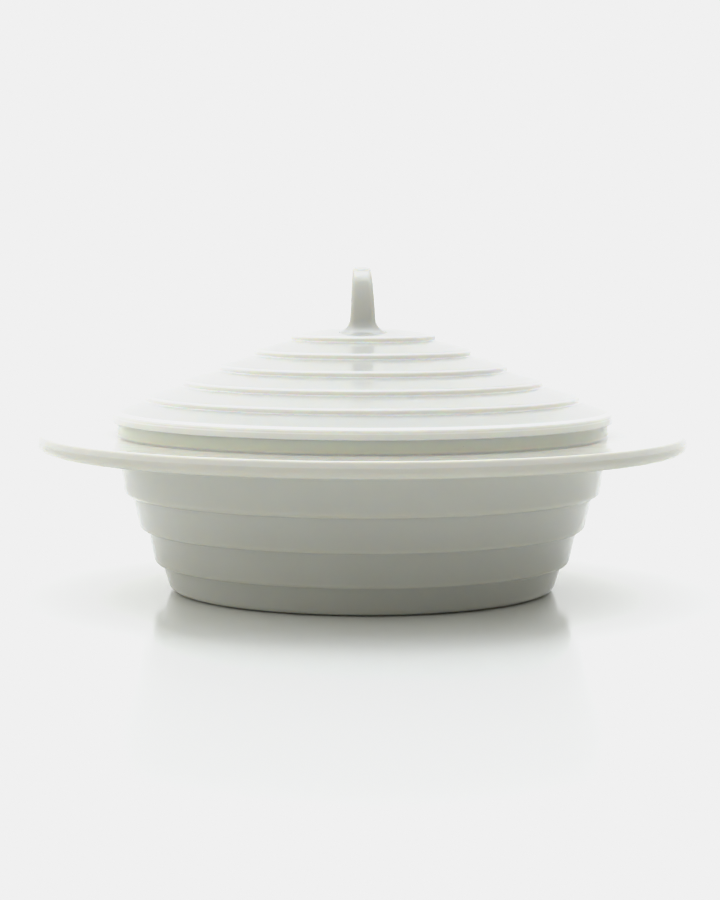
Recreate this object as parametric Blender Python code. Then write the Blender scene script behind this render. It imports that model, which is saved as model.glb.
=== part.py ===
"""A round covered casserole dish in glazed porcelain.

It has two loose pieces. The bowl is a stepped, tapering cup with a broad flat flange and a low collar. The
lid is a stepped cone with an upright fin for a knob, and it rests on the collar, held central by a ring
that hangs inside it. The origin is on the axis in the plane that the foot stands on, +Z is up, and the
broad sides of the knob face +X and -X. Outlines are lists of (radius, height, fillet radius).
"""

import math

import bmesh
import bpy
from mathutils import Vector

SEGMENTS = 64                  # facets round each turned piece
FILLET_STEP = math.radians(32)  # turn of one straight piece of a fillet
MERGE = 0.00001

# Bowl
FOOT_RADIUS = 0.0790           # outer edge of the ring that it stands on
FOOT_RING_WIDTH = 0.0038
FOOT_RECESS = 0.0018
BASE_RADIUS = 0.0834           # lowest tier, just above the rounded foot
TIER_FIRST = (0.0868, 0.0120)  # radius and height of the lowest notch
TIER_RISE = 0.0149             # from one notch to the next
TIER_GROWTH = 0.00655
TIER_NOTCHES = 3
TIER_LIP = 0.0031              # how far each tier stands out over its notch
TIER_FILLET = 0.0026
FOOT_FILLET = 0.0036
WALL = 0.0044                  # level thickness of the wall at a notch
FLOOR_TOP = 0.0060
FLOOR_FILLET = 0.0090          # where the floor turns up into the wall
MOUTH_FILLET = 0.0100          # where the wall turns up into the collar

# Flange and collar
FLANGE_RADIUS = 0.1400
FLANGE_UNDER = 0.0612
FLANGE_SHOULDER = (0.1381, 0.0683)
FLANGE_ROOT = 0.0675           # height of the flange's top where the collar stands on it
FLANGE_BEVEL = 0.0014          # from the shoulder down to the round of the edge
FLANGE_EDGE = 0.0043           # fillet under the edge
FLANGE_SPREAD = 0.0056         # from the highest notch out to the flange's underside
COLLAR_OUTER = 0.1060
COLLAR_INNER = 0.1015
COLLAR_TOP = 0.0735
COLLAR_FILLET = 0.0008

# Lid
LID_GAP = 0.0003               # between the collar's top and the lid's rim
RIM_RADIUS = 0.1082
RIM_HEIGHT = 0.0038
STEP_OUTER = (0.0940, 0.0848)  # radius and height of the lowest step's edge
STEP_INWARD = 0.0156
STEP_RISE = 0.0065
STEP_COUNT = 5
RISER = 0.0023
STEP_EDGE = 0.0005             # fillet at the top of each riser, and a little more at its foot
PLATE_CENTRE = (0.0150, 0.1133)  # edge of the level middle of the top plate
PLATE_BEND = 0.0300            # radius of the bend from there to the plate's slope
LID_WALL = 0.0040              # level drop from the foot of a riser to the underside
CEILING_INSET = 0.0090         # from the edge of the top plate to the level middle under it
CEILING_BEND = 0.0150
RING_OUTER = 0.1007            # ring under the lid, inside the collar
RING_INNER = 0.0970
RING_DEPTH = 0.0062
RING_DRAFT = 0.0003
RING_FILLET = 0.0010

# Knob: a fin with a rounded crown, flat drafted sides and a flared root
KNOB_TOP = 0.1398
KNOB_DEPTH = 0.0410            # along Y, at the root
KNOB_THICK_ROOT = 0.0108
KNOB_THICK_TOP = 0.0082
KNOB_EDGE = 0.0018
KNOB_FLARE = 0.0048
KNOB_BASE = PLATE_CENTRE[1] + KNOB_FLARE
KNOB_SQUARENESS = 2.4          # 2 would make the crown an ellipse
KNOB_SINK = 0.0020             # how far the root goes into the lid's plate
ARCH_STEPS = 18
EDGE_STEPS = 3
FLARE_STEPS = 4
SIDE_STEPS = 8


def clear_scene():
    for obj in list(bpy.data.objects):
        bpy.data.objects.remove(obj, do_unlink=True)


def porcelain(name, colour):
    """Glazed white porcelain."""
    material = bpy.data.materials.new(name)
    material.use_nodes = True
    shader = material.node_tree.nodes["Principled BSDF"]
    shader.inputs["Base Color"].default_value = (*colour, 1.0)
    shader.inputs["Roughness"].default_value = 0.12
    shader.inputs["Metallic"].default_value = 0.0
    return material


def rounded(outline):
    """The outline's points in the XZ plane, with an arc at each corner that has a fillet radius."""
    points = []
    for i, (radius, height, fillet) in enumerate(outline):
        corner = Vector((radius, height))
        if fillet == 0:
            points.append(corner)
            continue
        before = (Vector(outline[i - 1][:2]) - corner).normalized()
        after = (Vector(outline[i + 1][:2]) - corner).normalized()
        opening = before.angle(after)
        turn = math.pi - opening
        reach = fillet / math.tan(opening / 2)
        centre = corner + (before + after).normalized() * fillet / math.sin(opening / 2)
        start = corner + before * reach - centre
        way = 1 if before.x * after.y - before.y * after.x < 0 else -1
        steps = max(1, round(turn / FILLET_STEP))
        for k in range(steps + 1):
            angle = way * turn * k / steps
            cos, sin = math.cos(angle), math.sin(angle)
            points.append(centre + Vector((start.x * cos - start.y * sin, start.x * sin + start.y * cos)))
    return points


def turned(name, outline):
    """A solid of revolution about Z, from an outline that runs down the outer side, axis to axis."""
    mesh = bpy.data.meshes.new(name)
    points = [(p.x, 0.0, p.y) for p in rounded(outline)]
    mesh.from_pydata(points, [(i, i + 1) for i in range(len(points) - 1)], [])
    obj = bpy.data.objects.new(name, mesh)
    bpy.context.collection.objects.link(obj)
    screw = obj.modifiers.new("Turn", "SCREW")
    screw.axis = "Z"
    screw.steps = SEGMENTS
    screw.render_steps = SEGMENTS
    screw.use_merge_vertices = True
    screw.merge_threshold = MERGE
    screw.use_smooth_shade = True
    return obj


def flange_outline():
    """From the collar's inner edge over its top, across the flange and round its edge to the wall."""
    shoulder_radius, shoulder_height = FLANGE_SHOULDER
    wall_radius = notch(TIER_NOTCHES - 1)[0] + FLANGE_SPREAD
    return [
        (COLLAR_INNER, COLLAR_TOP, COLLAR_FILLET),
        (COLLAR_OUTER, COLLAR_TOP, COLLAR_FILLET),
        (COLLAR_OUTER, FLANGE_ROOT, COLLAR_FILLET),
        (shoulder_radius, shoulder_height, STEP_EDGE),
        (FLANGE_RADIUS, shoulder_height - FLANGE_BEVEL, FLANGE_EDGE / 2),
        (FLANGE_RADIUS, FLANGE_UNDER, FLANGE_EDGE),
        (wall_radius, FLANGE_UNDER, TIER_FILLET),
    ]


def notch(index):
    """Radius and height of a notch between two tiers, counted from the lowest."""
    radius, height = TIER_FIRST
    return radius + TIER_GROWTH * index, height + TIER_RISE * index


def tiers_outline():
    """Down the stepped wall: each tier ends in a rounded lip that turns in to the notch under it."""
    outline = []
    for index in reversed(range(TIER_NOTCHES)):
        radius, height = notch(index)
        outline.append((radius + TIER_LIP, height, TIER_FILLET))
        outline.append((radius, height, 0))
    return outline


def foot_outline():
    """The rounded foot, the ring that it stands on and the recess inside that ring."""
    ring_inner = FOOT_RADIUS - FOOT_RING_WIDTH
    return [
        (BASE_RADIUS, FOOT_RECESS * 0.6, FOOT_FILLET),
        (FOOT_RADIUS, 0, 0),
        (ring_inner, 0, 0),
        (ring_inner - FOOT_RECESS, FOOT_RECESS, COLLAR_FILLET),
        (0, FOOT_RECESS, 0),
    ]


def hollow_outline():
    """Up the inside of the bowl, from its floor to the collar, parallel to the line of the notches."""
    slope = TIER_GROWTH / TIER_RISE
    radius, height = TIER_FIRST
    floor_radius = radius - WALL + slope * (FLOOR_TOP - height)
    rise = (COLLAR_INNER - floor_radius) / slope
    return [
        (0, FLOOR_TOP, 0),
        (floor_radius, FLOOR_TOP, FLOOR_FILLET),
        (COLLAR_INNER, FLOOR_TOP + rise, MOUTH_FILLET),
    ]


def build_bowl():
    outline = hollow_outline() + flange_outline() + tiers_outline() + foot_outline()
    return turned("bowl", outline)


def step_edge(index):
    """Radius and height of a step's upper edge, counted from the lowest. The last is the top plate's."""
    return STEP_OUTER[0] - STEP_INWARD * index, STEP_OUTER[1] + STEP_RISE * index


def steps_outline():
    """Down the top of the lid: a slope and a short riser for each step, then the rim."""
    outline = [(0, PLATE_CENTRE[1], 0), (*PLATE_CENTRE, PLATE_BEND)]
    for index in reversed(range(STEP_COUNT)):
        radius, height = step_edge(index)
        outline.append((radius, height, STEP_EDGE))
        outline.append((radius, height - RISER, STEP_EDGE * 1.2))
    rim_bottom = COLLAR_TOP + LID_GAP
    outline.append((RIM_RADIUS, rim_bottom + RIM_HEIGHT, STEP_EDGE))
    outline.append((RIM_RADIUS, rim_bottom, COLLAR_FILLET))
    return outline


def underside_outline():
    """From the rim in over the hanging ring, then up the smooth cone under the steps to the axis."""
    rim_bottom = COLLAR_TOP + LID_GAP
    slope = STEP_RISE / STEP_INWARD
    cone_foot = STEP_OUTER[1] - RISER - LID_WALL
    ceiling_radius = step_edge(STEP_COUNT - 1)[0] - CEILING_INSET
    ceiling = cone_foot + slope * (STEP_OUTER[0] - ceiling_radius)
    return [
        (RING_OUTER, rim_bottom, STEP_EDGE),
        (RING_OUTER - RING_DRAFT, rim_bottom - RING_DEPTH, RING_FILLET),
        (RING_INNER, rim_bottom - RING_DEPTH, RING_FILLET),
        (RING_INNER - RING_DRAFT, cone_foot - slope * (RING_INNER - STEP_OUTER[0]), RING_FILLET * 3),
        (ceiling_radius, ceiling, CEILING_BEND),
        (0, ceiling, 0),
    ]


def plate_height(radius):
    """Height of the lid's top plate at a distance from the axis."""
    centre_radius, centre_height = PLATE_CENTRE
    edge_radius, edge_height = step_edge(STEP_COUNT - 1)
    share = max(0.0, (radius - centre_radius) / (edge_radius - centre_radius))
    return centre_height + (edge_height - centre_height) * share


def half_thickness(height):
    """Half of the knob's thickness at a height above the flared root."""
    share = height / (KNOB_TOP - KNOB_BASE)
    return (KNOB_THICK_ROOT + (KNOB_THICK_TOP - KNOB_THICK_ROOT) * share) / 2


def arch():
    """The rim of the knob above its flare, front to back, as (point, outward normal) in Y and height."""
    half_depth = KNOB_DEPTH / 2
    rise = KNOB_TOP - KNOB_BASE
    power = 2 / KNOB_SQUARENESS
    path = []
    for i in range(ARCH_STEPS + 1):
        angle = math.pi * i / ARCH_STEPS
        across = -math.cos(angle)
        y = math.copysign(abs(across) ** power, across)
        z = max(0.0, math.sin(angle)) ** power
        lean = math.copysign(abs(y) ** (KNOB_SQUARENESS - 1), y) / half_depth
        normal = Vector((lean, z ** (KNOB_SQUARENESS - 1) / rise)).normalized()
        path.append((Vector((y * half_depth, z * rise)), normal))
    return path


def band_row(point, normal):
    """One row across the knob's rim, from its -X side to its +X side, with rounded edges."""
    row = []
    for side in (-1, 1):
        for k in range(EDGE_STEPS + 1):
            angle = math.pi / 2 * k / EDGE_STEPS
            if side == 1:
                angle = math.pi / 2 - angle
            inward = KNOB_EDGE * (1 - math.sin(angle))
            place = point - normal * inward
            x = side * (half_thickness(place.y) - KNOB_EDGE * (1 - math.cos(angle)))
            row.append(Vector((x, place.x, KNOB_BASE + place.y)))
    return row


def side_edge(start, end):
    """Points between two corners of the knob's root, both left out."""
    return [start.lerp(end, k / SIDE_STEPS) for k in range(1, SIDE_STEPS)]


def flared(ring, share):
    """The root ring pushed outward and down along a quarter circle, sitting on the sloping plate."""
    angle = math.pi / 2 * share
    spread = KNOB_FLARE * (1 - math.cos(angle))
    drop = KNOB_FLARE * math.sin(angle)
    grown = []
    count = len(ring)
    for i, point in enumerate(ring):
        along = ring[(i + 1) % count] - ring[i - 1]
        outward = Vector((along.y, -along.x, 0)).normalized()
        place = point + outward * spread
        fall = plate_height(math.hypot(place.x, place.y)) - PLATE_CENTRE[1]
        place.z += fall * share - drop
        grown.append(place)
    return grown


def build_knob():
    """The fin: a band over its crown, two flat sides, a flared root and a sunken base."""
    bm = bmesh.new()
    rows = [[bm.verts.new(place) for place in band_row(*step)] for step in arch()]
    for row, following in zip(rows, rows[1:]):
        for k in range(len(row) - 1):
            bm.faces.new((row[k], row[k + 1], following[k + 1], following[k]))
    right = [bm.verts.new(p) for p in side_edge(rows[0][-1].co, rows[-1][-1].co)]
    left = [bm.verts.new(p) for p in side_edge(rows[-1][0].co, rows[0][0].co)]
    bm.faces.new([row[-1] for row in rows] + right[::-1])
    bm.faces.new([row[0] for row in reversed(rows)] + left[::-1])
    ring = rows[0] + right + rows[-1][::-1] + left
    root = [vert.co.copy() for vert in ring]
    for k in range(1, FLARE_STEPS + 1):
        ring = extend(bm, ring, flared(root, k / FLARE_STEPS))
    ring = extend(bm, ring, [vert.co - Vector((0, 0, KNOB_SINK)) for vert in ring])
    bm.faces.new(ring)
    bmesh.ops.recalc_face_normals(bm, faces=bm.faces)
    mesh = bpy.data.meshes.new("knob_shape")
    bm.to_mesh(mesh)
    bm.free()
    knob = bpy.data.objects.new("knob_shape", mesh)
    bpy.context.collection.objects.link(knob)
    knob.hide_render = True
    knob.display_type = "WIRE"
    return knob


def extend(bm, ring, places):
    """A new ring of vertices at the places, joined to the one before it."""
    grown = [bm.verts.new(place) for place in places]
    count = len(ring)
    for i in range(count):
        j = (i + 1) % count
        bm.faces.new((ring[i], grown[i], grown[j], ring[j]))
    return grown


def build_lid():
    lid = turned("lid", steps_outline() + underside_outline())
    union = lid.modifiers.new("Knob", "BOOLEAN")
    union.operation = "UNION"
    union.solver = "EXACT"
    union.object = build_knob()
    return lid


def main():
    clear_scene()
    bowl = build_bowl()
    lid = build_lid()
    bowl.data.materials.append(porcelain("bowl_porcelain", (0.80, 0.81, 0.78)))
    lid.data.materials.append(porcelain("lid_porcelain", (0.80, 0.81, 0.78)))


main()
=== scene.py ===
"""Looks of a covered casserole dish: glazed porcelain bowl and lid in a pale studio."""
import math

import bpy
from mathutils import Matrix, Vector


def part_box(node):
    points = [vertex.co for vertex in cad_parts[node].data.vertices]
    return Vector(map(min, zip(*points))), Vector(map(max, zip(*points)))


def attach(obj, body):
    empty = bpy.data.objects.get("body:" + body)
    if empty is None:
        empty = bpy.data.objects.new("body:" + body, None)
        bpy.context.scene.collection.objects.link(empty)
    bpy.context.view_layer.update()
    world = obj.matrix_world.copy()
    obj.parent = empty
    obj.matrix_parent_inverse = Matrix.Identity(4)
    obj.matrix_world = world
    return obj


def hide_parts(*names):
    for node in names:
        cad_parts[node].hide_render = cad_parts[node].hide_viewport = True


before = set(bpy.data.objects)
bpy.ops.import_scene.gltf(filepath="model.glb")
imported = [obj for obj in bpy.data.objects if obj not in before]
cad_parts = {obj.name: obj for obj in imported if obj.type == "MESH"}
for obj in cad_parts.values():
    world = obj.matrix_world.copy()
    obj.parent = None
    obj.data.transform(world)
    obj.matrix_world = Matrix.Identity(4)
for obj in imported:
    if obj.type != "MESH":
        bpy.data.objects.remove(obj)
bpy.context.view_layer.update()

# Driving sizes, in metres, from the frame
BOWL_LOW, BOWL_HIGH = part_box("bowl")
LID_LOW, LID_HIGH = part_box("lid")
FLANGE_RADIUS = BOWL_HIGH.x
COLLAR_TOP = BOWL_HIGH.z
RIM_RADIUS = LID_HIGH.x
KNOB_TOP = LID_HIGH.z
RIM_BOTTOM = COLLAR_TOP + 0.00003    # the glaze of the rim lies on the collar

# Bowl
FOOT_RADIUS = 0.0790
FOOT_RING_WIDTH = 0.0038
FOOT_RECESS = 0.0018
BASE_RADIUS = 0.0834
BASE_BEND = FOOT_RECESS * 0.6  # height of the bend from the lowest tier to the foot
TIER_FIRST = (0.0868, 0.0120)
TIER_RISE = 0.0149
TIER_GROWTH = 0.00655
TIER_NOTCHES = 3
TIER_LIP = 0.0031
TIER_LIP_RISE = 0.0002
TIER_FILLET = 0.0026
WALL = 0.0044
FLOOR_TOP = 0.0060
FLOOR_FILLET = 0.0090
MOUTH_FILLET = 0.0100
CRISP = 0.0003                 # fillet of the sharpest edges
FOOT_FILLET = 0.0036
RECESS_FILLET = 0.0008
FLANGE_UNDER = COLLAR_TOP - 0.0123
FLANGE_SHOULDER = (FLANGE_RADIUS - 0.0019, COLLAR_TOP - 0.0052)
FLANGE_BEVEL = 0.0026          # height of the bevel round its upper edge
FLANGE_SHOULDER_FILLET = 0.0005
FLANGE_BEVEL_FILLET = 0.0006
FLANGE_LOWER_FILLET = 0.0032
FLANGE_SPREAD = 0.0056         # of its root beyond the highest notch
FLANGE_SPREAD_FILLET = 0.0025
FLANGE_ROOT = COLLAR_TOP - 0.0060
COLLAR_OUTER = 0.1060
COLLAR_INNER = 0.1015
COLLAR_MOUTH_FILLET = 0.0009
COLLAR_FOOT_FILLET = 0.0013

# Lid
RIM_HEIGHT = 0.0041
RIM_FILLET = 0.0013
STEP_OUTER = (0.0940, COLLAR_TOP + 0.0113)
STEP_INWARD = 0.0156
STEP_RISE = 0.0065
STEP_COUNT = 5
RISER = 0.0023
PLATE_CENTRE = (0.0150, COLLAR_TOP + 0.0398)
PLATE_BEND = 0.0015
STEP_EDGE = 0.0013             # fillet at the top of each riser
STEP_FOOT = 0.0005
LID_WALL = 0.0040
RING_OUTER = 0.1007
RING_INNER = 0.0970
RING_DRAFT = 0.0003            # how far each of its sides leans
RING_FILLET = 0.0010
RING_ROOT_FILLET = 0.0005
RING_INSIDE_FILLET = 0.0030
CEILING_INSET = 0.0090         # of the level ceiling inside the lid from the edge of its plate
CEILING_FILLET = 0.0150

# Knob
KNOB_DEPTH = 0.0410
KNOB_THICK_ROOT = 0.0108
KNOB_THICK_TOP = 0.0082
KNOB_EDGE = 0.0018
KNOB_FLARE = 0.0048
KNOB_BASE = PLATE_CENTRE[1] + KNOB_FLARE
KNOB_SQUARENESS = 2.4
KNOB_LEAN = 0.0005             # of its top to -X, as it was stuck on by hand

# Mesh fineness
ROUND = 256                    # vertices round each turned ring, a multiple of four
FILLET_STEP = math.radians(9)
SUPPORT = 0.0006               # distance of a support loop from the end of a straight stretch
BAND_STEPS = 8                 # across each rounded edge of the knob
FACE_STEPS = 8                 # across the flat of its rim
FLARE_STEPS = 14
SIDE_SHARES = (0.0, 0.04, 0.3, 0.6, 0.9, 0.975)    # heights of the loops on its flat sides
PLATE_STEPS = 8
PLATE_BORDER = 0.0018          # the turned part starts this far inside the plate's edge


def rounded(outline):
    """The outline as points (radius, height), with arcs at its corners and support points on straights."""
    points = []
    for i, (radius, height, fillet) in enumerate(outline):
        corner = Vector((radius, height))
        if fillet == 0:
            points.append(corner)
            continue
        before = (Vector(outline[i - 1][:2]) - corner).normalized()
        after = (Vector(outline[i + 1][:2]) - corner).normalized()
        opening = before.angle(after)
        turn = math.pi - opening
        reach = fillet / math.tan(opening / 2)
        centre = corner + (before + after).normalized() * fillet / math.sin(opening / 2)
        start = corner + before * reach - centre
        way = 1 if before.x * after.y - before.y * after.x < 0 else -1
        steps = max(3, round(turn / FILLET_STEP))
        for k in range(steps + 1):
            angle = way * turn * k / steps
            cos, sin = math.cos(angle), math.sin(angle)
            points.append(centre + Vector((start.x * cos - start.y * sin, start.x * sin + start.y * cos)))
    return supported(points)


def supported(points):
    """The points with one more near each end of every stretch that is long enough to need it."""
    full = [points[0]]
    for start, end in zip(points, points[1:]):
        length = (end - start).length
        if length > 3 * SUPPORT:
            full.append(start.lerp(end, SUPPORT / length))
            full.append(end.lerp(start, SUPPORT / length))
        full.append(end)
    return full


def notch(index):
    """Radius and height of a notch between two tiers, counted from the lowest."""
    radius, height = TIER_FIRST
    return radius + TIER_GROWTH * index, height + TIER_RISE * index


def bowl_outline():
    """Up the inside from the axis, over the collar and flange, and down the tiers to the axis."""
    slope = TIER_GROWTH / TIER_RISE
    floor_radius = TIER_FIRST[0] - WALL + slope * (FLOOR_TOP - TIER_FIRST[1])
    mouth = FLOOR_TOP + (COLLAR_INNER - floor_radius) / slope
    outline = [(0, FLOOR_TOP, 0), (floor_radius, FLOOR_TOP, FLOOR_FILLET)]
    outline += [(COLLAR_INNER, mouth, MOUTH_FILLET)]
    outline += [(COLLAR_INNER, COLLAR_TOP, COLLAR_MOUTH_FILLET), (COLLAR_OUTER, COLLAR_TOP, CRISP)]
    outline += [(COLLAR_OUTER, FLANGE_ROOT, COLLAR_FOOT_FILLET), (*FLANGE_SHOULDER, FLANGE_SHOULDER_FILLET)]
    outline += [(FLANGE_RADIUS, FLANGE_SHOULDER[1] - FLANGE_BEVEL, FLANGE_BEVEL_FILLET)]
    outline += [(FLANGE_RADIUS, FLANGE_UNDER, FLANGE_LOWER_FILLET)]
    outline += [(notch(TIER_NOTCHES - 1)[0] + FLANGE_SPREAD, FLANGE_UNDER, FLANGE_SPREAD_FILLET)]
    for index in reversed(range(TIER_NOTCHES)):
        radius, height = notch(index)
        outline += [(radius + TIER_LIP, height + TIER_LIP_RISE, TIER_FILLET), (radius, height, CRISP)]
    ring_inner = FOOT_RADIUS - FOOT_RING_WIDTH
    outline += [(BASE_RADIUS, BASE_BEND, FOOT_FILLET), (FOOT_RADIUS, 0, CRISP), (ring_inner, 0, CRISP)]
    outline += [(ring_inner - FOOT_RECESS, FOOT_RECESS, RECESS_FILLET), (0, FOOT_RECESS, 0)]
    return outline


def lid_outline():
    """From the top plate's edge down the steps, round the rim and ring, and up the underside to the axis."""
    outline = []
    for index in reversed(range(STEP_COUNT)):
        radius = STEP_OUTER[0] - STEP_INWARD * index
        height = STEP_OUTER[1] + STEP_RISE * index
        outline += [(radius, height, STEP_EDGE), (radius, height - RISER, STEP_FOOT)]
    outline += [(RIM_RADIUS, RIM_BOTTOM + RIM_HEIGHT, RIM_FILLET), (RIM_RADIUS, RIM_BOTTOM, CRISP)]
    slope = STEP_RISE / STEP_INWARD
    cone_foot = STEP_OUTER[1] - RISER - LID_WALL
    ceiling_radius = plate_edge()[0] - CEILING_INSET
    ceiling = cone_foot + slope * (STEP_OUTER[0] - ceiling_radius)
    ring_top = cone_foot - slope * (RING_INNER - STEP_OUTER[0])
    outline += [(RING_OUTER, RIM_BOTTOM, RING_ROOT_FILLET), (RING_OUTER - RING_DRAFT, LID_LOW.z, RING_FILLET)]
    outline += [(RING_INNER, LID_LOW.z, RING_FILLET), (RING_INNER - RING_DRAFT, ring_top, RING_INSIDE_FILLET)]
    outline += [(ceiling_radius, ceiling, CEILING_FILLET), (0, ceiling, 0)]
    return outline


def plate_edge():
    """Radius and height of the edge of the lid's top plate."""
    inner_steps = STEP_COUNT - 1
    return STEP_OUTER[0] - STEP_INWARD * inner_steps, STEP_OUTER[1] + STEP_RISE * inner_steps


def plate_height(radius):
    """Height of the top plate: level at its centre, then a slope, with a soft bend between them."""
    centre_radius, centre_height = PLATE_CENTRE
    edge_radius, edge_height = plate_edge()
    slope = (centre_height - edge_height) / (edge_radius - centre_radius)
    past = radius - centre_radius
    return centre_height - slope * (past + math.sqrt(past * past + PLATE_BEND * PLATE_BEND)) / 2


def half_thickness(height):
    share = height / (KNOB_TOP - KNOB_BASE)
    return (KNOB_THICK_ROOT + (KNOB_THICK_TOP - KNOB_THICK_ROOT) * share) / 2


def arch(steps):
    """The knob's rim above its flare, front to back, as (point, outward normal) in Y and height."""
    half_depth = KNOB_DEPTH / 2
    rise = KNOB_TOP - KNOB_BASE
    power = 2 / KNOB_SQUARENESS
    path = []
    for i in range(steps + 1):
        angle = math.pi * i / steps
        across = -math.cos(angle)
        y = math.copysign(abs(across) ** power, across)
        z = max(0.0, math.sin(angle)) ** power
        lean = math.copysign(abs(y) ** (KNOB_SQUARENESS - 1), y) / half_depth
        normal = Vector((lean, z ** (KNOB_SQUARENESS - 1) / rise)).normalized()
        path.append((Vector((y * half_depth, z * rise)), normal))
    return path


def band_row(point, normal):
    """One row across the knob's rim, from its -X side to its +X side, with rounded edges."""
    profile = []
    for k in range(BAND_STEPS + 1):
        angle = math.pi / 2 * k / BAND_STEPS
        profile.append((1 - math.sin(angle), 1 - math.cos(angle), 0.0))
    for k in range(1, FACE_STEPS):
        profile.append((0.0, 1.0, k / FACE_STEPS))
    row = []
    for inward, narrowing, along in profile:
        place = point - normal * (KNOB_EDGE * inward)
        flat = half_thickness(place.y) - KNOB_EDGE
        x = flat + KNOB_EDGE * (1 - narrowing)
        row.append((-x if along == 0 else -flat + 2 * flat * along, place))
    row += [(-x, place) for x, place in reversed(row[:BAND_STEPS + 1])]
    lean = KNOB_LEAN * (point.y / (KNOB_TOP - KNOB_BASE)) ** 2
    return [Vector((x - lean, place.x, KNOB_BASE + place.y)) for x, place in row]


def flared(ring, share):
    """The root ring pushed outward and down along a quarter circle, to sit on the sloping plate."""
    angle = math.pi / 2 * share
    spread = KNOB_FLARE * (1 - math.cos(angle))
    drop = KNOB_FLARE * math.sin(angle)
    grown = []
    count = len(ring)
    for i, point in enumerate(ring):
        along = ring[(i + 1) % count] - ring[i - 1]
        outward = Vector((along.y, -along.x, 0)).normalized()
        place = point + outward * spread
        fall = plate_height(math.hypot(place.x, place.y)) - PLATE_CENTRE[1]
        place.z += fall * share * share - drop
        grown.append(place)
    return grown


class Surface:
    """A mesh under construction: its vertices and faces."""

    def __init__(self):
        self.places = []
        self.faces = []

    def ring(self, places):
        first = len(self.places)
        self.places.extend(places)
        return list(range(first, len(self.places)))

    def bridge(self, upper, lower):
        count = len(upper)
        for i in range(count):
            j = (i + 1) % count
            self.faces.append((upper[i], lower[i], lower[j], upper[j]))

    def close(self, ring, centre, down):
        apex = self.ring([centre])[0]
        count = len(ring)
        for i in range(count):
            j = (i + 1) % count
            self.faces.append((apex, ring[j], ring[i]) if down else (apex, ring[i], ring[j]))

    def turned(self, points, angles, last=None):
        """Rings for the points, each joined to the one before it."""
        for point in points:
            ring = self.ring(circle(point.x, point.y, angles))
            if last is not None:
                self.bridge(last, ring)
            last = ring
        return last

    def mesh(self, name):
        mesh = bpy.data.meshes.new(name)
        mesh.from_pydata(self.places, [], self.faces)
        mesh.shade_smooth()
        mesh.validate()
        return mesh


def circle(radius, height, angles):
    return [Vector((radius * math.cos(a), radius * math.sin(a), height)) for a in angles]


def even_angles():
    return [2 * math.pi * i / ROUND for i in range(ROUND)]


def bowl_mesh():
    surface = Surface()
    points = rounded(bowl_outline())
    angles = even_angles()
    first = surface.ring(circle(points[1].x, points[1].y, angles))
    surface.close(first, Vector((0, 0, points[0].y)), down=False)
    last = surface.turned(points[2:-1], angles, first)
    surface.close(last, Vector((0, 0, points[-1].y)), down=True)
    return surface.mesh("bowl_shape")


def knob_on_plate(surface):
    """The fin with its flare and the plate round it. It gives the outermost ring and that ring's angles."""
    across = 2 * BAND_STEPS + FACE_STEPS
    along = ROUND // 2 - across
    rows = [surface.ring(band_row(*step)) for step in arch(along)]
    for row, following in zip(rows, rows[1:]):
        for k in range(across):
            surface.faces.append((row[k], row[k + 1], following[k + 1], following[k]))
    right = side_face(surface, [row[-1] for row in rows], right_side=True)
    left = side_face(surface, [row[0] for row in rows], right_side=False)
    ring = rows[0] + right + rows[-1][::-1] + left[::-1]
    root = [surface.places[i].copy() for i in ring]
    for k in range(1, FLARE_STEPS + 1):
        wider = surface.ring(flared(root, k / FLARE_STEPS))
        surface.bridge(ring, wider)
        ring = wider
    edge_radius = plate_edge()[0] - PLATE_BORDER
    flare_edge = [surface.places[i].copy() for i in ring]
    offset = (across / 2) / ROUND
    angles = [2 * math.pi * (i / ROUND - offset) - math.pi / 2 for i in range(ROUND)]
    for k in range(1, PLATE_STEPS + 1):
        share = k / PLATE_STEPS
        places = []
        for place, target in zip(flare_edge, circle(edge_radius, 0, angles)):
            spot = place.lerp(target, share)
            spot.z = plate_height(math.hypot(spot.x, spot.y))
            places.append(spot)
        wider = surface.ring(places)
        surface.bridge(ring, wider)
        ring = wider
    return ring, angles


def side_face(surface, edge, right_side):
    """A flat side of the knob, from its root up to the band's edge. It gives the root's inner vertices."""
    start = surface.places[edge[0]]
    end = surface.places[edge[-1]]
    count = len(edge) - 1
    grid = []
    for share in SIDE_SHARES:
        places = [start.lerp(end, j / count).lerp(surface.places[edge[j]], share) for j in range(1, count)]
        grid.append([edge[0], *surface.ring(places), edge[-1]])
    grid.append(edge)
    for lower, upper in zip(grid, grid[1:]):
        for j in range(count):
            corners = [lower[j], lower[j + 1], upper[j + 1], upper[j]]
            corners = list(dict.fromkeys(corners))
            surface.faces.append(tuple(corners if right_side else corners[::-1]))
    return grid[0][1:-1]


def lid_mesh():
    surface = Surface()
    ring, angles = knob_on_plate(surface)
    border = plate_edge()[0] - PLATE_BORDER
    points = rounded([(border, plate_height(border), 0), *lid_outline()])
    last = surface.turned(points[1:-1], angles, ring)
    surface.close(last, Vector((0, 0, points[-1].y)), down=True)
    return surface.mesh("lid_shape")


def leave_bare(mesh, height):
    """Give the level ring at this height, which stands or rests on something, the mesh's second material."""
    for face in mesh.polygons:
        if abs(face.normal.z) > 0.95 and abs(face.center.z - height) < 0.0003:
            face.material_index = 1


def piece(name, mesh, body, node):
    obj = bpy.data.objects.new(name, mesh)
    bpy.context.scene.collection.objects.link(obj)
    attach(obj, body)
    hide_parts(node)
    return obj


WHITE_LOW = (0.600, 0.602, 0.536)
WHITE_HIGH = (0.628, 0.630, 0.568)
PAINTED_LIGHT_BAND = (0.84, 0.84, 0.78)      # painted light: a lighter tone on the risers, the rim and the top of the flange, for light scattered through the glaze
PAINTED_HIGHLIGHT_EDGE = (0.93, 0.93, 0.90)      # painted highlight: near-white lines along the top and the foot of each of the lid's steps
PAINTED_WARM_BOUNCE = (0.97, 0.92, 0.73)     # painted warm bounce light, on the collar
SPECK = (0.45, 0.42, 0.36)


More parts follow.
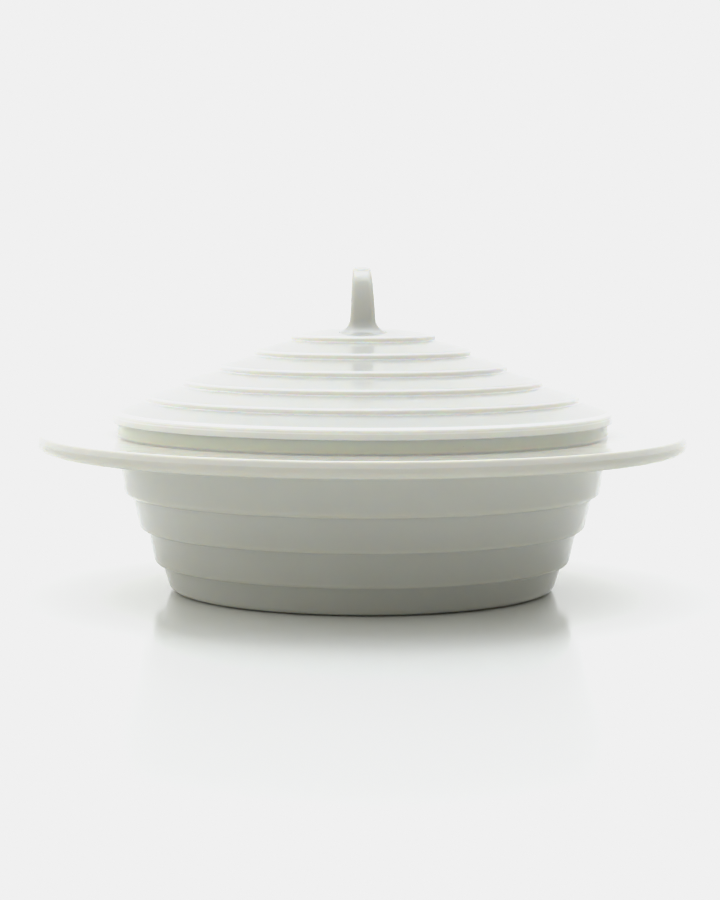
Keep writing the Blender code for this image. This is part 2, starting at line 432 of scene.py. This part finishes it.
def new_material(name):
    material = bpy.data.materials.new(name)
    material.use_nodes = True
    tree = material.node_tree
    return material, tree, tree.nodes["Principled BSDF"]


def translucent(shader, weight, depth):
    shader.inputs["Subsurface Weight"].default_value = weight
    shader.inputs["Subsurface Scale"].default_value = depth


def glaze(name):
    """Gloss glaze over translucent porcelain, with painted light: lighter bands, painted highlight lines on
    the lid's steps and painted warm bounce light on the collar.
    """
    material, tree, shader = new_material(name)
    shader.inputs["IOR"].default_value = 1.6
    translucent(shader, 1.0, 0.005)
    shader.inputs["Subsurface Radius"].default_value = (1.0, 0.8, 0.5)
    coords = tree.nodes.new("ShaderNodeTexCoord").outputs["Object"]
    painted_light_bands, highlight_edges, collar_bounce_light = painted_light_masks(tree, coords)
    clouds = noise(tree, coords, 45.0, 3)
    white = blend_colour(tree, clouds, WHITE_LOW, WHITE_HIGH)
    # Painted light over the glaze colour: lighter bands, highlight lines along the steps, warm bounce light
    # on the collar.
    colour = blend_colour(tree, painted_light_bands, white, PAINTED_LIGHT_BAND)
    colour = blend_colour(tree, highlight_edges, colour, PAINTED_HIGHLIGHT_EDGE)
    colour = blend_colour(tree, collar_bounce_light, colour, PAINTED_WARM_BOUNCE)
    specks = smooth(tree, noise(tree, coords, 900.0, 1), 0.815, 0.84)
    colour = blend_colour(tree, math_node(tree, "MULTIPLY", specks, 0.35), colour, SPECK)
    tree.links.new(colour, shader.inputs["Base Color"])
    orange_peel = noise(tree, coords, 160.0, 2)
    rough = tree.nodes.new("ShaderNodeMapRange")
    rough.inputs["From Min"].default_value = 0.3
    rough.inputs["From Max"].default_value = 0.7
    rough.inputs["To Min"].default_value = 0.04
    rough.inputs["To Max"].default_value = 0.08
    tree.links.new(clouds, rough.inputs["Value"])
    tree.links.new(rough.outputs["Result"], shader.inputs["Roughness"])
    normal = bump(tree, noise(tree, coords, 38.0, 1), 0.00025, None)
    normal = bump(tree, orange_peel, 0.00002, normal)
    normal = bump(tree, turning_rings(tree, coords), 0.000006, normal)
    tree.links.new(normal, shader.inputs["Normal"])
    return material


def bisque(name):
    """Bare fired porcelain, where a piece stands or rests: matt, warm and finely grained."""
    material, tree, shader = new_material(name)
    shader.inputs["IOR"].default_value = 1.45
    translucent(shader, 0.5, 0.003)
    coords = tree.nodes.new("ShaderNodeTexCoord").outputs["Object"]
    grain = noise(tree, coords, 1500.0, 2)
    stain = noise(tree, coords, 120.0, 3)
    colour = blend_colour(tree, stain, (0.74, 0.70, 0.62), (0.80, 0.77, 0.70))
    tree.links.new(colour, shader.inputs["Base Color"])
    rough = smooth(tree, grain, -0.9, 1.1)
    tree.links.new(rough, shader.inputs["Roughness"])
    tree.links.new(bump(tree, grain, 0.00003, None), shader.inputs["Normal"])
    return material


def painted_light_masks(tree, coords):
    """Masks of the painted light: lighter bands on the risers, rim and flange, painted highlight lines on the
    steps' edges, and painted warm bounce light on the collar.
    """
    split = tree.nodes.new("ShaderNodeSeparateXYZ")
    tree.links.new(coords, split.inputs[0])
    x, y, z = split.outputs
    normals = tree.nodes.new("ShaderNodeTexCoord").outputs["Normal"]
    facing = tree.nodes.new("ShaderNodeSeparateXYZ")
    tree.links.new(normals, facing.inputs[0])
    upright = smooth(tree, facing.outputs[2], 0.80, 0.25)
    radius = distance(tree, x, y)
    outside = smooth(tree, radius, plate_edge()[0] - 0.004, plate_edge()[0] - 0.002)
    on_lid = smooth(tree, z, RIM_BOTTOM - 0.0002, RIM_BOTTOM + 0.0002)
    # Painted light on the lid's risers and rim, where they do not face up.
    painted_light_bands = math_node(tree, "MULTIPLY", math_node(tree, "MULTIPLY", outside, on_lid), upright)
    # Painted highlight lines along the lid's steps: at the top edge of each riser and at its foot.
    climb = math_node(tree, "DIVIDE", math_node(tree, "SUBTRACT", z, STEP_OUTER[1] - STEP_RISE), STEP_RISE)
    climb = math_node(tree, "FRACT", climb)
    brow_highlight = math_node(tree, "MAXIMUM", smooth(tree, climb, 0.85, 0.90), smooth(tree, climb, 0.02, 0.0))
    foot = 1 - RISER / STEP_RISE
    root = math_node(tree, "MULTIPLY", smooth(tree, climb, foot - 0.05, foot - 0.01),
                     smooth(tree, climb, foot + 0.07, foot + 0.03))
    highlight_edges = math_node(tree, "MULTIPLY", math_node(tree, "MAXIMUM", brow_highlight, root),
                      math_node(tree, "MULTIPLY", outside, on_lid))
    # Painted light on the top of the flange as well, at a weaker share.
    on_flange = smooth(tree, z, FLANGE_SHOULDER[1] - 0.0012, FLANGE_SHOULDER[1])
    on_flange = math_node(tree, "SUBTRACT", on_flange, on_lid)
    painted_light_bands = math_node(tree, "MAXIMUM", painted_light_bands, math_node(tree, "MULTIPLY", on_flange, 0.6))
    # Painted warm bounce light on the outside of the collar.
    on_collar = math_node(tree, "MULTIPLY", smooth(tree, z, FLANGE_ROOT - 0.0010, FLANGE_ROOT + 0.0004),
                          smooth(tree, radius, COLLAR_OUTER + 0.0040, COLLAR_OUTER + 0.0010))
    collar_bounce_light = math_node(tree, "MULTIPLY", on_collar, math_node(tree, "SUBTRACT", 1.0, on_lid))
    return painted_light_bands, highlight_edges, math_node(tree, "MULTIPLY", collar_bounce_light, upright)


def turning_rings(tree, coords):
    """Fine rings round the axis, left by the template that the pieces were turned with."""
    waves = tree.nodes.new("ShaderNodeTexWave")
    waves.wave_type = "RINGS"
    waves.rings_direction = "Z"
    waves.inputs["Scale"].default_value = 190.0
    waves.inputs["Distortion"].default_value = 1.5
    waves.inputs["Detail"].default_value = 2.0
    tree.links.new(coords, waves.inputs["Vector"])
    return waves.outputs["Fac"]


def noise(tree, coords, scale, detail):
    node = tree.nodes.new("ShaderNodeTexNoise")
    node.inputs["Scale"].default_value = scale
    node.inputs["Detail"].default_value = detail
    tree.links.new(coords, node.inputs["Vector"])
    return node.outputs["Fac"]


def bump(tree, height, distance, normal):
    """A bump of this height in metres over the normal given, if any."""
    node = tree.nodes.new("ShaderNodeBump")
    node.inputs["Distance"].default_value = distance
    tree.links.new(height, node.inputs["Height"])
    if normal is not None:
        tree.links.new(normal, node.inputs["Normal"])
    return node.outputs["Normal"]


def acrylic(name, colour):
    """White acrylic sheet with a satin gloss, which mirrors a little at low angles."""
    material, tree, shader = new_material(name)
    shader.inputs["Base Color"].default_value = (*colour, 1)
    shader.inputs["Roughness"].default_value = 0.10
    shader.inputs["IOR"].default_value = 1.5
    return material


def make_floor():
    size = 60.0
    mesh = bpy.data.meshes.new("floor")
    corners = [(-size, -size, 0), (size, -size, 0), (size, size, 0), (-size, size, 0)]
    mesh.from_pydata(corners, [], [(0, 1, 2, 3)])
    floor = bpy.data.objects.new("floor", mesh)
    floor.location.z = BOWL_LOW.z
    bpy.context.scene.collection.objects.link(floor)
    mesh.materials.append(acrylic("floor_acrylic", (0.92, 0.92, 0.87)))


def math_node(tree, operation, first, second=None):
    node = tree.nodes.new("ShaderNodeMath")
    node.operation = operation
    for socket, value in zip(node.inputs, (first, second)):
        if value is None:
            continue
        if isinstance(value, (int, float)):
            socket.default_value = value
        else:
            tree.links.new(value, socket)
    return node.outputs[0]


def distance(tree, x, y):
    """Length of the vector (x, y)."""
    square_x = math_node(tree, "MULTIPLY", x, x)
    square_y = math_node(tree, "MULTIPLY", y, y)
    return math_node(tree, "SQRT", math_node(tree, "ADD", square_x, square_y))


def smooth(tree, value, start, end):
    """0 below start and 1 above end, with a soft step between."""
    node = tree.nodes.new("ShaderNodeMapRange")
    node.interpolation_type = "SMOOTHSTEP"
    node.inputs["From Min"].default_value = start
    node.inputs["From Max"].default_value = end
    tree.links.new(value, node.inputs["Value"])
    return node.outputs["Result"]


def blend_colour(tree, share, first, second):
    node = tree.nodes.new("ShaderNodeMix")
    node.data_type = "RGBA"
    tree.links.new(share, node.inputs["Factor"])
    for socket, value in ((node.inputs["A"], first), (node.inputs["B"], second)):
        if isinstance(value, tuple):
            socket.default_value = (*value, 1)
        else:
            tree.links.new(value, socket)
    return node.outputs["Result"]


PALE = (1.12, 1.13, 1.14)      # backdrop round the back and the left
DARK = (0.02, 0.02, 0.015)     # unlit room in front and at the right
PAPER = 0.871                  # linear value of the brightest tone in the picture
SHOULDER = PAPER * 0.94         # tones up to here print as they are
CEILING = (1.18, 1.20, 1.25)
LAMP = (2.20, 2.28, 2.50)
LAMP_CORE = (3.3, 3.4, 3.7)    # where its bulb shows through
CORE_INNER = 0.18
CORE_OUTER = 0.38
LAMP_HALF_WIDTH = 0.60         # of the softbox overhead, seen from the dish, as a share of its height
LAMP_HALF_DEPTH = 0.52
LAMP_EDGE = 0.04               # half of its soft border
LAMP_CENTRE = 0.32             # how far behind the dish its middle hangs
BRIGHT_SIDE = math.radians(122)    # azimuth of the middle of the backdrop, from +X towards +Y


def elevation(degrees):
    """Height of a unit direction that rises by this angle."""
    return math.sin(math.radians(degrees))


def make_world():
    """A ceiling of soft light over a backdrop, with an unlit room in front that only lighting rays meet."""
    world = bpy.data.worlds.new("studio")
    bpy.context.scene.world = world
    world.use_nodes = True
    tree = world.node_tree
    background = tree.nodes["Background"]
    coords = tree.nodes.new("ShaderNodeTexCoord")
    split = tree.nodes.new("ShaderNodeSeparateXYZ")
    tree.links.new(coords.outputs["Generated"], split.inputs[0])
    x, y, z = split.outputs
    along = math_node(tree, "MULTIPLY", x, math.cos(BRIGHT_SIDE))
    along = math_node(tree, "ADD", along, math_node(tree, "MULTIPLY", y, math.sin(BRIGHT_SIDE)))
    level = math_node(tree, "SQRT", math_node(tree, "SUBTRACT", 1.0, math_node(tree, "MULTIPLY", z, z)))
    towards = math_node(tree, "DIVIDE", along, math_node(tree, "MAXIMUM", level, 0.01))
    room = blend_colour(tree, smooth(tree, towards, -0.4, 0.4), DARK, PALE)
    rays = tree.nodes.new("ShaderNodeLightPath")
    seen = math_node(tree, "MAXIMUM", rays.outputs["Is Camera Ray"], rays.outputs["Is Glossy Ray"])
    room = blend_colour(tree, seen, room, PALE)
    room = blend_colour(tree, smooth(tree, z, elevation(30), elevation(44)), room, CEILING)
    up = math_node(tree, "MAXIMUM", z, 0.05)
    across = math_node(tree, "ABSOLUTE", math_node(tree, "DIVIDE", x, up))
    deep = math_node(tree, "SUBTRACT", math_node(tree, "DIVIDE", y, up), LAMP_CENTRE)
    wide = smooth(tree, across, LAMP_HALF_WIDTH + LAMP_EDGE, LAMP_HALF_WIDTH - LAMP_EDGE)
    long = math_node(tree, "ABSOLUTE", deep)
    long = smooth(tree, long, LAMP_HALF_DEPTH + LAMP_EDGE, LAMP_HALF_DEPTH - LAMP_EDGE)
    room = blend_colour(tree, math_node(tree, "MULTIPLY", wide, long), room, LAMP)
    from_core = distance(tree, across, deep)
    room = blend_colour(tree, smooth(tree, from_core, CORE_OUTER, CORE_INNER), room, LAMP_CORE)
    tree.links.new(room, background.inputs["Color"])


def expose():
    """Print white as a light grey: everything from PAPER up comes out as the same pale tone."""
    view = bpy.context.scene.view_settings
    view.view_transform = "Standard"
    view.use_curve_mapping = True
    mapping = view.curve_mapping
    mapping.extend = "HORIZONTAL"
    curve = mapping.curves[3]
    curve.points[0].location = (0, 0)
    curve.points[1].location = (1, PAPER)
    curve.points.new(SHOULDER, SHOULDER)
    for point in curve.points:
        point.handle_type = "VECTOR"
    mapping.update()


def make_camera():
    """Low in front of the dish, looking slightly down at it."""
    camera = bpy.data.objects.new("camera", bpy.data.cameras.new("camera"))
    bpy.context.scene.collection.objects.link(camera)
    camera.data.sensor_width = 36.0
    camera.data.lens = 96.5
    camera.data.clip_start = 0.01
    camera.data.clip_end = 200.0
    camera.location = (-0.0010, -1.0452, 0.1531)
    tilt = math.atan2(camera.location.z - 0.0603, -camera.location.y)
    look = Matrix.Rotation(math.pi / 2 - tilt, 4, "X")
    roll = Matrix.Rotation(math.radians(0.18), 4, "Z")
    camera.rotation_euler = (look @ roll).to_euler()
    bpy.context.scene.camera = camera


make_camera()
make_world()
make_floor()
bowl = piece("bowl_glazed", bowl_mesh(), "bowl", "bowl")
lid = piece("lid_glazed", lid_mesh(), "lid", "lid")
bowl.data.materials.append(glaze("bowl_glaze"))
bowl.data.materials.append(bisque("bowl_bisque"))
leave_bare(bowl.data, BOWL_LOW.z)
leave_bare(bowl.data, COLLAR_TOP)
lid.data.materials.append(glaze("lid_glaze"))
lid.data.materials.append(bisque("lid_bisque"))
leave_bare(lid.data, RIM_BOTTOM)
expose()
